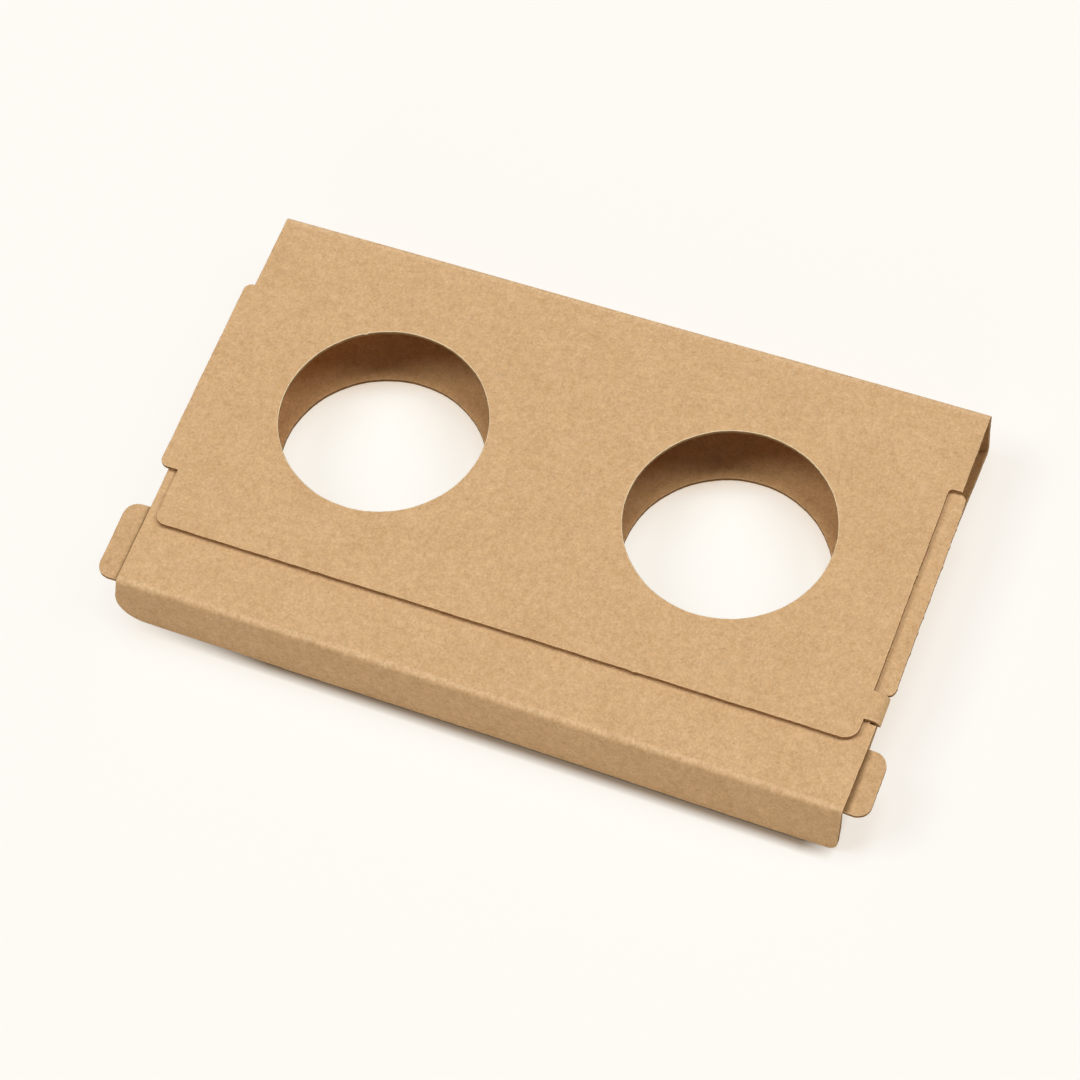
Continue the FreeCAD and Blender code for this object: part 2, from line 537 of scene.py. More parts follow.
def round_hole(x: float, along: float, radius: float, spacing: float) -> CutLoop:
    """A round cut, travelled clockwise so that the board is on its left.

    Args:
        x: Its middle along the length.
        along: Its middle along the blank.
        radius: Its radius.
        spacing: Distance between points.

    Returns:
        The loop.
    """
    count = math.ceil(math.tau * radius / spacing)
    angles = -math.tau * np.arange(count) / count
    points = np.stack([x + radius * np.cos(angles), along + radius * np.sin(angles)], 1)
    return CutLoop(points, np.ones(count, bool))


@dataclass
class BoardMesh:
    """Vertices, faces, normals and blank places that the runs of board add to."""

    places: list[np.ndarray] = field(default_factory=list)
    blanks: list[np.ndarray] = field(default_factory=list)
    normals: list[np.ndarray] = field(default_factory=list)
    faces: list[list[int]] = field(default_factory=list)
    sides: list[int] = field(default_factory=list)
    count: int = 0

    def add(self, places: np.ndarray, blanks: np.ndarray, normals: np.ndarray) -> int:
        """Adds vertices.

        Args:
            places: Their places, in millimetres.
            blanks: Their places in the flat blank, with the depth in the board last.
            normals: Their shading normals.

        Returns:
            Number of the first one.
        """
        first = self.count
        self.places.append(places)
        self.blanks.append(blanks)
        self.normals.append(normals)
        self.count += len(places)
        return first

    def to_object(self, name: str, sizes: CarrierSizes) -> bpy.types.Object:
        """Makes the Blender object, with doubled vertices along joined runs merged.

        Args:
            name: Name of the piece.
            sizes: Sizes that give the shift to the row frame.

        Returns:
            The object, with no material yet.
        """
        places = np.concatenate(self.places) + np.array([sizes.shift_x, sizes.shift_y, 0.0])
        blanks, normals = np.concatenate(self.blanks), np.concatenate(self.normals)
        keys = np.round(places / MERGE_STEP).astype(np.int64)
        _, first, back = np.unique(keys, axis=0, return_index=True, return_inverse=True)
        back = back.ravel()
        faces = [[int(back[v]) for v in face] for face in self.faces]
        mesh = bpy.data.meshes.new(name)
        mesh.from_pydata((places[first] * MM).tolist(), [], faces)
        mesh.polygons.foreach_set("material_index", np.array(self.sides, np.int32))
        mesh.shade_smooth()
        attribute = mesh.attributes.new(PLACE, "FLOAT_VECTOR", "POINT")
        attribute.data.foreach_set("vector", blanks[first].astype(np.float32).ravel())
        mesh.normals_split_custom_set_from_vertices(normals[first].tolist())
        mesh.validate(clean_customdata=False)
        piece = bpy.data.objects.new(name, mesh)
        bpy.context.scene.collection.objects.link(piece)
        return piece


@dataclass
class BoardRun:
    """One run of the blank: its cuts, and the path that it is folded along.

    Sizes of the mesh are in millimetres. Board beside the ear fold stays flat, and the hook is the
    only bend that runs across the others. Clearances keep the inner points away from the cuts.
    """

    sizes: CarrierSizes
    path: FoldPath
    loops: list[CutLoop]
    hooked: bool
    ear_fold: int = -1
    spacing: float = 2.4
    bend_step: float = 13.0
    edge_round: float = 0.14
    rim_round: float = 0.26
    blank_offset: float = 0.0
    pale_rims: tuple[int, ...] = ()
    first_column: float = 1.1
    clear_across: float = 0.55
    clear_along: float = 0.16
    clear_square: float = 0.8
    batch: int = 2000
    hook_row_step: float = 0.83

    def rows(self) -> np.ndarray:
        """Rows of the mesh."""
        return self.path.rows(self.spacing, self.bend_step)

    def inner_points(self) -> np.ndarray:
        """Points inside the cuts, on the rows of the mesh.

        Returns:
            Flat places, clear of every cut.
        """
        outline = self.loops[0].points
        low, high = outline.min(0), outline.max(0)
        columns = np.arange(low[0] + self.first_column, high[0], self.spacing)
        grid = np.stack(np.meshgrid(columns, self.rows()), -1).reshape(-1, 2)
        inside = np.zeros(len(grid), bool)
        for loop in self.loops:
            inside ^= inside_loop(grid, loop.points)
        grid = grid[inside]
        cuts = np.concatenate([loop.points for loop in self.loops])
        clear = np.ones(len(grid), bool)
        for start in range(0, len(grid), self.batch):
            some = slice(start, start + self.batch)
            apart = np.abs(grid[some][:, None, :] - cuts[None, :, :])
            near = apart[..., 0] < self.clear_across * self.spacing
            near &= apart[..., 1] < self.clear_along
            near |= (apart ** 2).sum(-1) < self.clear_square
            clear[some] = ~near.any(1)
        if self.hooked:
            s = self.sizes
            off_hook = grid[:, 1] > s.hook_far - self.path.start_y
            clear &= (grid[:, 0] < s.hook_bend - 1.2) | off_hook
        return np.concatenate([grid[clear], self.hook_points()])

    def hook_points(self) -> np.ndarray:
        """Close points where the locking hook bends.

        Returns:
            Flat places inside the hook.
        """
        s = self.sizes
        if not self.hooked:
            return np.zeros((0, 2))
        columns = np.arange(s.hook_bend - 0.8, s.hook_end - 0.3, FINE_STEP)
        rows = np.arange(s.hook_near + 0.6, s.hook_far - 0.5, self.hook_row_step)
        rows -= self.path.start_y
        return np.stack(np.meshgrid(columns, rows), -1).reshape(-1, 2)

    def fold(self, flat: np.ndarray) -> tuple[np.ndarray, np.ndarray]:
        """Middle of the board and its outward normal at flat places.

        Args:
            flat: Places in the blank.

        Returns:
            Places and unit normals in space.
        """
        s = self.sizes
        x, along = flat[:, 0].copy(), flat[:, 1]
        ys, zs, headings = self.path.place(along)
        if self.ear_fold >= 0:
            begin, end = self.path.begins[self.ear_fold:self.ear_fold + 2]
            flat_y, flat_z, _ = self.path.states[self.ear_fold + 1]
            beside = x < s.left + 0.5 * s.left_wall_inset
            beside |= x > s.right - s.right_wall_inset + 0.5 * SLIT
            beside &= (along >= begin - 0.5) & (along <= end)
            ys[beside] = flat_y - (end - along[beside])
            zs[beside] = flat_z
            headings[beside] = 0.0
        normals = np.stack([np.zeros_like(x), -np.sin(headings), np.cos(headings)], 1)
        if self.hooked:
            radius = s.hook_radius - s.board / 2
            from_middle = np.abs(ys - (s.hook_far + s.hook_near) / 2)
            over = (x > s.hook_bend) & (from_middle < s.hook_length / 2 + 0.1)
            over &= along < self.path.begins[SleevePart.BACK_FOLD]
            angle = (x[over] - s.hook_bend) / radius
            x[over] = s.hook_bend + radius * np.sin(angle)
            zs[over] = s.height - s.hook_radius + radius * np.cos(angle)
            normals[over] = np.stack([np.sin(angle), np.zeros_like(angle), np.cos(angle)], 1)
        return np.stack([x, ys, zs], 1), normals

    def build(self, board: BoardMesh, spring: "BoardSpring") -> None:
        """Meshes the run and adds it to the board.

        Args:
            board: Mesh that takes the run.
            spring: The slight bow of the real board.
        """
        half = self.sizes.board / 2
        rounds = [self.edge_round] * len(self.loops)
        for number in self.pale_rims:
            rounds[number] = self.rim_round
        inset = [loop.points + loop.inward * size for loop, size in zip(self.loops, rounds)]
        flat = np.concatenate(inset + [self.inner_points()])
        counts = [len(points) for points in inset]
        edges: list[tuple[int, int]] = []
        start = 0
        for count in counts:
            edges += [(start + i, start + (i + 1) % count) for i in range(count)]
            start += count
        triangles = cut_triangles(flat, edges, inset)
        middle, normal = self.fold(flat)
        blank = np.c_[flat[:, 0], flat[:, 1] + self.blank_offset]
        top = spring.bowed(middle + normal * half)
        low = spring.bowed(middle - normal * half)
        top_normal = vertex_normals(top, triangles)
        low_normal = vertex_normals(low, triangles[:, ::-1])
        first_top = board.add(top, np.c_[blank, np.full(len(flat), half)], top_normal)
        first_low = board.add(low, np.c_[blank, np.full(len(flat), -half)], low_normal)
        board.faces += (triangles + first_top).tolist()
        board.faces += (triangles[:, ::-1] + first_low).tolist()
        board.sides += [BoardSide.FACE.value] * (2 * len(triangles))
        start = 0
        for number, (loop, count) in enumerate(zip(self.loops, counts)):
            side = BoardSide.HOLE_RIM if number in self.pale_rims else BoardSide.CUT_EDGE
            firsts = (first_low + start, first_top + start)
            self.build_edge(board, spring, loop, firsts, rounds[number], side)
            start += count

    def build_edge(
        self,
        board: BoardMesh,
        spring: "BoardSpring",
        loop: CutLoop,
        firsts: tuple[int, int],
        rounding: float,
        side: BoardSide,
    ) -> None:
        """Adds the cut edge round one loop, with its small rounded corners.

        Args:
            board: Mesh that takes the edge.
            spring: The slight bow of the real board.
            loop: The cut.
            firsts: Numbers of the loop's first vertex on the lower and on the upper face.
            rounding: Size of the rounded corners.
            side: The finish that the edge takes.
        """
        half, count = self.sizes.board / 2, len(loop.points)
        depth = half - rounding
        middle, normal = self.fold(loop.points)
        blank = np.c_[loop.points[:, 0], loop.points[:, 1] + self.blank_offset]
        upper, lower = (spring.bowed(middle + normal * side_depth) for side_depth in (depth, -depth))
        outward = unit(np.cross(np.roll(upper, -1, 0) - upper, normal))
        shared = unit(outward + np.roll(outward, 1, 0))
        first_upper = board.add(upper, np.c_[blank, np.full(count, depth)], shared)
        first_lower = board.add(lower, np.c_[blank, np.full(count, -depth)], shared)
        for i in range(count):
            if not loop.free[i]:
                continue
            j = (i + 1) % count
            rings = (firsts[0], first_lower, first_upper, firsts[1])
            for under, over in zip(rings, rings[1:]):
                board.faces.append([under + i, under + j, over + j, over + i])
                board.sides.append(side.value)


def inside_loop(points: np.ndarray, loop: np.ndarray) -> np.ndarray:
    """Which points lie inside a closed loop.

    Args:
        points: Flat places.
        loop: The loop's points.

    Returns:
        True for each point inside.
    """
    inside = np.zeros(len(points), bool)
    ahead = np.roll(loop, -1, 0)
    x, y = points[:, 0], points[:, 1]
    for (x0, y0), (x1, y1) in zip(loop, ahead):
        if y0 == y1:
            continue
        spans = (y0 > y) != (y1 > y)
        crossing = x0 + (y - y0) * (x1 - x0) / (y1 - y0)
        inside ^= spans & (x < crossing)
    return inside


def cut_triangles(flat: np.ndarray, edges: list[tuple[int, int]], rings: list[np.ndarray]) -> np.ndarray:
    """Triangles that fill the board between its cuts.

    Args:
        flat: All flat places, the loops' first.
        edges: Sides of the loops.
        rings: The loops' points, set in by the rounding of the edge.

    Returns:
        Triangles of vertex numbers, counter-clockwise.
    """
    coordinates = [Vector((float(x), float(y))) for x, y in flat]
    found = delaunay_2d_cdt(coordinates, edges, [], 0, LEVEL, True)
    places = np.array([(v.x, v.y) for v in found[0]])
    origins = [group[0] if len(group) else -1 for group in found[3]]
    triangles = np.array([face for face in found[2] if len(face) == 3])
    centres = places[triangles].mean(1)
    inside = np.zeros(len(centres), bool)
    for ring in rings:
        inside ^= inside_loop(centres, ring)
    triangles = np.array(origins)[triangles[inside]]
    if (triangles < 0).any():
        raise ValueError("two cuts of the blank cross each other")
    a, b, c = (flat[triangles[:, k]] for k in range(3))
    area = (b[:, 0] - a[:, 0]) * (c[:, 1] - a[:, 1]) - (b[:, 1] - a[:, 1]) * (c[:, 0] - a[:, 0])
    triangles[area < 0] = triangles[area < 0][:, ::-1]
    return triangles[np.abs(area) > SMALLEST_AREA]


def vertex_normals(places: np.ndarray, triangles: np.ndarray) -> np.ndarray:
    """Normals averaged over the triangles round each vertex.

    Args:
        places: Vertices.
        triangles: Their triangles.

    Returns:
        Unit normals.
    """
    a, b, c = (places[triangles[:, k]] for k in range(3))
    across = np.cross(b - a, c - a)
    normals = np.zeros_like(places)
    for k in range(3):
        np.add.at(normals, triangles[:, k], across)
    return unit(normals)


@dataclass(frozen=True)
class BoardSpring:
    """The slight bow that folded board keeps. Amounts are in millimetres."""

    sizes: CarrierSizes
    crown: float = 0.3
    end_droop: float = 0.5
    flap_wave: float = 0.22
    waviness: float = 0.12
    skew: float = 1.7
    flap_out: float = 1.3
    lift_start: float = 2.0
    front_start: float = 100.0
    front_reach: float = 40.0
    crown_forward: float = 0.6
    droop_power: int = 10
    wave_along: tuple[float, float] = (23.0, 1.1)
    wave_across: tuple[float, float] = (31.0, 0.4)
    flap_wave_along: tuple[float, float] = (27.0, 0.9)
    flap_out_spread: float = 1.7
    flap_face: tuple[float, float] = (0.5, 0.6)
    flap_fade: tuple[float, float] = (1.5, 12.0)

    def bowed(self, places: np.ndarray) -> np.ndarray:
        """Places moved by the bow.

        Args:
            places: Places of the folded board.

        Returns:
            Moved places.
        """
        s = self.sizes
        x, y, z = places.T
        share = np.clip((z - self.lift_start) / (s.ear_top - self.lift_start - s.board), 0, 1)
        lift = share * share * (3 - 2 * share)
        across = x / s.right
        front = np.clip((s.from_back(self.front_start) - y) / self.front_reach, 0, 1)
        rise = self.crown * (1 - across ** 2) * (1 - self.crown_forward + self.crown_forward * front)
        rise -= self.end_droop * np.abs(across) ** self.droop_power * front
        along_wave = np.sin(x / self.wave_along[0] + self.wave_along[1])
        across_wave = np.cos(y / self.wave_across[0] + self.wave_across[1])
        rise += self.waviness * along_wave * across_wave
        moved = places.copy()
        moved[:, 2] += lift * rise
        on_flap = np.clip((-s.depth / 2 + self.flap_face[0] - y) / self.flap_face[1], 0, 1)
        on_flap *= np.clip((s.inner_top - self.flap_fade[0] - z) / self.flap_fade[1], 0, 1)
        length, shift = self.flap_wave_along
        moved[:, 1] += self.flap_wave * on_flap * np.sin(x / length + shift)
        to_right = np.clip(1 - ((1 - across) / self.flap_out_spread) ** 2, 0, 1)
        moved[:, 1] -= self.flap_out * on_flap * to_right
        moved[:, 1] -= self.skew * across * np.clip((s.depth / 2 - y) / s.depth, 0, 1.05)
        return moved


@dataclass
class Sleeve:
    """Outer top panel, back wall, bottom panel, front wall, ear panel and hem."""

    sizes: CarrierSizes
    seed: int = 11
    roughness: float = 0.035
    front_burrs: tuple[float, float] = (-60.0, 42.2)
    cut_burr_from_back: float = 59.5
    rim_burr_turn: float = 121.0

    def path(self) -> FoldPath:
        """Folded line of the run, from the outer top panel's front edge to the end of the hem.

        Returns:
            The path.
        """
        s = self.sizes
        crease = PathPart.bend(s.fold_middle, -90)
        back = s.depth / 2 - s.fold_outside
        start = s.from_back(s.top_reach)
        ears = s.wall_face + s.fold_outside
        return FoldPath(start, s.height - s.board / 2, 0.0, [
            PathPart(back - start),
            crease,
            PathPart(s.height - 2 * s.fold_outside),
            crease,
            PathPart(back - ears),
            crease,
            PathPart(s.ear_top - 2 * s.fold_outside),
            crease,
            PathPart(s.hem_line - ears),
            PathPart.bend((s.lay_gap + s.board) / 2, 180),
        ])

    def outline(self, path: FoldPath) -> list[Corner]:
        """Corners of the run's cut outline.

        Args:
            path: The run's path.

        Returns:
            Corners, counter-clockwise in the blank.
        """
        s = self.sizes
        start = path.start_y
        left_in, right_in = s.left + s.left_step_in, s.right - s.right_step_in
        cut_far = s.from_back(s.cut_from_back) - start
        tab_far = s.from_back(s.tab_from_back) - start
        tab_near = s.from_back(s.tab_from_back + s.tab_length) - start
        floor_start, foot = path.begins[SleevePart.BOTTOM:SleevePart.FRONT_WALL]
        wall_end, hem_start, hem_end = path.begins[SleevePart.EAR_PANEL:]
        ear_start = wall_end - s.fold_outside
        left_wall, right_wall = s.left + s.left_wall_inset, s.right - s.right_wall_inset
        right_ear, left_ear = s.right + s.right_ear_out, s.left - s.left_ear_out
        hem_right, hem_left = s.right - s.arm_width - s.hem_end_inset, s.left + s.hem_end_inset
        return [
            Corner(left_in, 0, s.left_corner),
            Corner(right_in, 0, s.right_corner),
            Corner(right_in, s.hook_near - start, fine=True),
            Corner(s.hook_end, s.hook_near - start),
            Corner(s.hook_end, s.hook_far - start, fine=True),
            Corner(right_in, s.hook_far - start),
            Corner(right_in, cut_far, s.cut_corner),
            Corner(s.right, cut_far),
            Corner(s.right, floor_start),
            Corner(s.right - s.right_taper, foot),
            Corner(right_wall, foot),
            Corner(right_wall, wall_end),
            Corner(right_wall + SLIT, wall_end),
            Corner(right_wall + SLIT, ear_start),
            Corner(right_ear, ear_start, s.ear_corner),
            Corner(right_ear, ear_start + s.right_ear_length, s.ear_corner),
            Corner(s.right, ear_start + s.right_ear_length),
            Corner(s.right, hem_start),
            Corner(hem_right, hem_start),
            Corner(hem_right, hem_end, joined=True),
            Corner(hem_left, hem_end),
            Corner(hem_left, hem_start),
            Corner(s.left, hem_start),
            Corner(s.left, ear_start + s.left_ear_length),
            Corner(left_ear, ear_start + s.left_ear_length, s.ear_corner),
            Corner(left_ear, ear_start, s.ear_corner),
            Corner(s.left, ear_start),
            Corner(s.left, wall_end),
            Corner(left_wall, wall_end),
            Corner(left_wall, foot),
            Corner(s.left, foot),
            Corner(s.left, tab_far),
            Corner(s.left - s.tab_out, tab_far, s.tab_corner),
            Corner(s.left - s.tab_out, tab_near, s.tab_corner),
            Corner(left_in, tab_near),
        ]

    def nicks(self, path: FoldPath) -> list[Nick]:
        """Burrs on the front edge, the right cut and the rim of the left top hole.

        Args:
            path: The run's path.

        Returns:
            The burrs.
        """
        s = self.sizes
        turn = math.radians(self.rim_burr_turn)
        rim_x = s.hole_middles()[0] + s.hole_radius * math.cos(turn)
        rim_along = s.from_back(s.top_holes_from_back) - path.start_y + s.hole_radius * math.sin(turn)
        cut_along = s.from_back(self.cut_burr_from_back) - path.start_y
        return [Nick(x, 0, 0.35) for x in self.front_burrs] + [
            Nick(s.right - s.right_step_in, cut_along, 0.35),
            Nick(rim_x, rim_along, 0.45),
        ]

    def build(self, board: BoardMesh, spring: BoardSpring, joint_count: int) -> None:
        """Meshes the run.

        Args:
            board: Mesh that takes it.
            spring: The slight bow of the real board.
            joint_count: Number of steps along the line where the inner panel goes on.
        """
        s = self.sizes
        rng = np.random.default_rng(self.seed)
        path = self.path()
        run = BoardRun(s, path, [], hooked=True, ear_fold=SleevePart.EAR_FOLD, pale_rims=(1, 3))
        loops = [trace_outline(self.outline(path), run.rows(), joint_count)]
        top_middle = s.from_back(s.top_holes_from_back) - path.start_y
        bottom_y = s.from_back(s.top_holes_from_back + s.bottom_holes_further_forward)
        bottom = SleevePart.BOTTOM
        bottom_middle = path.begins[bottom] + path.states[bottom][0] - bottom_y
        for x in s.hole_middles():
            loops.append(round_hole(x, top_middle, s.hole_radius, TOP_HOLE_STEP))
            loops.append(round_hole(x, bottom_middle, s.hole_radius, BOTTOM_HOLE_STEP))
        nicks = self.nicks(path)
        run.loops = [loop.roughened(rng, self.roughness).nicked(nicks) for loop in loops]
        run.build(board, spring)
        log.info("sleeve: %d mesh vertices so far", board.count)


@dataclass
class InnerPanelAndFlap:
    """Inner top panel with its arm, the front fold and the flap that hangs over the front wall."""

    sizes: CarrierSizes
    seed: int = 23
    roughness: float = 0.035
    blank_offset: float = 400.0
    burr_step: float = 6.2
    burr_width: float = 0.6

    def path(self) -> FoldPath:
        """Folded line of the run, from the arm's far end to the flap's lower edge.

        Returns:
            The path.
        """
        s = self.sizes
        start = s.from_back(s.cut_from_back)
        fold_line = -s.depth / 2 + s.fold_outside
        lean = math.radians(s.flap_lean)
        drop = s.inner_top - s.fold_outside + s.fold_outside * math.sin(lean) - s.flap_table_gap
        return FoldPath(start, s.inner_top - s.board / 2, math.pi, [
            PathPart(start - fold_line),
            PathPart.bend(s.fold_middle, 90 - s.flap_lean),
            PathPart(drop / math.cos(lean)),
        ])

    def outline(self, path: FoldPath) -> list[Corner]:
        """Corners of the run's cut outline.

        Args:
            path: The run's path.

        Returns:
            Corners, counter-clockwise in the blank.
        """
        s = self.sizes
        start = path.start_y
        hem = start - s.hem_line
        arm_near = start - (s.hook_far + s.lock_clearance)
        notch_near = start - (s.hook_near - s.lock_clearance)
        arm_inside, arm_outside = s.right - s.arm_width, s.right + s.arm_out
        hem_right, hem_left = arm_inside - s.hem_end_inset, s.left + s.hem_end_inset
        flap, end = path.begins[FlapPart.FLAP:]
        return [
            Corner(arm_inside, 0, s.arm_inner_corner),
            Corner(arm_outside, 0, s.arm_corner),
            Corner(arm_outside, arm_near, s.arm_corner),
            Corner(s.hook_bend, arm_near),
            Corner(s.hook_bend, notch_near),
            Corner(s.right, notch_near),
            Corner(s.right - s.flap_right_slant, end, s.flap_right_corner),
            Corner(s.left - s.flap_flare, end, s.flap_left_corner),
            Corner(s.left - s.flap_flare, flap + s.flap_flare_drop),
            Corner(s.left, flap),
            Corner(s.left, hem),
            Corner(hem_left, hem, joined=True),
            Corner(hem_right, hem),
            Corner(arm_inside, hem),
        ]

    def nicks(self, rng: np.random.Generator) -> list[Nick]:
        """Row of small burrs down the outer side of the arm.

        Args:
            rng: Source of the seeded draws.

        Returns:
            The burrs.
        """
        s = self.sizes
        places = np.arange(6.0, s.cut_length - 3.0, self.burr_step)
        places += rng.uniform(-1.2, 1.2, len(places))
        heights = rng.uniform(0.08, 0.26, len(places))
        side = s.right + s.arm_out
        return [Nick(side, a, h, self.burr_width) for a, h in zip(places.tolist(), heights.tolist())]

    def build(self, board: BoardMesh, spring: BoardSpring, joint_count: int) -> None:
        """Meshes the run.

        Args:
            board: Mesh that takes it.
            spring: The slight bow of the real board.
            joint_count: Number of steps along the line where the hem goes on.
        """
        rng = np.random.default_rng(self.seed)
        path = self.path()
        run = BoardRun(self.sizes, path, [], hooked=False, blank_offset=self.blank_offset)
        outer = trace_outline(self.outline(path), run.rows(), joint_count)
        run.loops = [outer.roughened(rng, self.roughness).nicked(self.nicks(rng))]
        run.build(board, spring)
        log.info("inner panel and flap: %d mesh vertices so far", board.count)


class FinishNodes:
    """A material and its node tree, with short calls to add and join nodes."""

    def __init__(self, name: str) -> None:
        """Makes an empty material.

        Args:
            name: Name of the material.
        """
        self.material = bpy.data.materials.new(name)
        self.material.use_nodes = True
        self.tree = self.material.node_tree
        self.tree.nodes.clear()

    def add(self, kind: str, values: dict[str | int, object], **settings: object) -> bpy.types.Node:
        """Adds a node.

        Args:
            kind: Blender's name of the node type.
            values: Input names or numbers, with a socket to link or a value to set.
            settings: Attributes of the node.

        Returns:
            The node.
        """
        node = self.tree.nodes.new(kind)
        for name, value in settings.items():
            setattr(node, name, value)
        for name, value in values.items():
            if isinstance(value, Socket):
                self.tree.links.new(value, node.inputs[name])
            else:
                node.inputs[name].default_value = value
        return node

    def maths(self, step: MathStep, a: object, b: object = 0.0) -> Socket:
        """Result of one arithmetic step on sockets or numbers."""
        return self.add("ShaderNodeMath", {0: a, 1: b}, operation=step.value).outputs[0]

    def plus(self, a: object, b: object) -> Socket:
        """Sum of two sockets or numbers."""
        return self.maths(MathStep.ADD, a, b)

    def times(self, a: object, b: object) -> Socket:
        """Product of two sockets or numbers."""
        return self.maths(MathStep.MULTIPLY, a, b)

    def unsigned(self, a: object) -> Socket:
        """A value without its sign."""
        return self.maths(MathStep.ABSOLUTE, a)

    def axes(self, place: object) -> tuple[Socket, ...]:
        """The three coordinates of a place."""
        return tuple(self.add("ShaderNodeSeparateXYZ", {0: place}).outputs)

    def mapped(
        self, value: Socket, low: float, high: float, to_low: float = 0.0, to_high: float = 1.0
    ) -> Socket:
        """A value stretched from one range to another, and held inside it.

        Args:
            value: The socket to map.
            low: Value that becomes to_low.
            high: Value that becomes to_high.
            to_low: Start of the new range.
            to_high: End of the new range.

        Returns:
            The mapped socket.
        """
        values = {0: value, 1: low, 2: high, 3: to_low, 4: to_high}
        return self.add("ShaderNodeMapRange", values).outputs[0]

    def mixed(self, share: object, a: object, b: object, blend: str = "MIX") -> Socket:
        """Mix of two colours.

        Args:
            share: How much of the second one.
            a: First colour or socket.
            b: Second colour or socket.
            blend: Blender's name of the way to mix.

        Returns:
            The mixed colour.
        """
        node = self.add("ShaderNodeMix", {0: share, 6: a, 7: b}, data_type="RGBA", blend_type=blend)
        return node.outputs[2]

    def noise(self, place: object, scale: float, detail: float = 2.0, rough: float = 0.5) -> Socket:
        """Noise with this many features per millimetre.

        Args:
            place: Coordinates.
            scale: Features per millimetre.
            detail: Number of finer layers.
            rough: Strength of the finer layers.

        Returns:
            The noise's value.
        """
        values = {"Vector": place, "Scale": scale, "Detail": detail, "Roughness": rough}
        return self.add("ShaderNodeTexNoise", values).outputs[0]

    def stretched(
        self, place: object, turn: float, length: float, width: float, shift: float = 0.0
    ) -> Socket:
        """Coordinates turned about the board's normal and stretched along one way.

        Args:
            place: Coordinates.
            turn: Turn in degrees.
            length: Scale along the strand.
            width: Scale across it.
            shift: Shift that makes another pattern.

        Returns:
            The new coordinates.
        """
        values = {"Vector": place, "Rotation": (0, 0, math.radians(turn)), "Location": (shift, shift, 0)}
        turned = self.add("ShaderNodeMapping", values).outputs[0]
        return self.add("ShaderNodeMapping", {"Vector": turned, "Scale": (length, width, 1)}).outputs[0]

    def place(self) -> Socket:
        """Place in the unfolded blank, in millimetres."""
        return self.add("ShaderNodeAttribute", {}, attribute_name=PLACE).outputs["Vector"]

    def finish(
        self, colour: object, roughness: object, bump: object, depth: float, gloss: float
    ) -> bpy.types.Material:
        """Joins the shader and the output.

        Args:
            colour: Base colour.
            roughness: Roughness.
            bump: Height from 0 to 1.
            depth: Depth of the bump in metres.
            gloss: Specular level.

        Returns:
            The finished material.
        """
        raised = self.add("ShaderNodeBump", {"Height": bump, "Distance": depth, "Strength": 1.0})
        shader = self.add("ShaderNodeBsdfPrincipled", {
            "Base Color": colour,
            "Roughness": roughness,
            "Normal": raised.outputs[0],
            "Specular IOR Level": gloss,
        })
        self.add("ShaderNodeOutputMaterial", {"Surface": shader.outputs[0]})
        return self.material


@dataclass(frozen=True)
class PulpLayer:
    """One layer of the face's tone: features per millimetre, finer layers and share of the tone."""

    scale: float
    detail: float
    rough: float
    share: float

    def value(self, nodes: FinishNodes, place: Socket) -> Socket:
        """Noise of the layer."""
        return nodes.noise(place, self.scale, self.detail, self.rough)


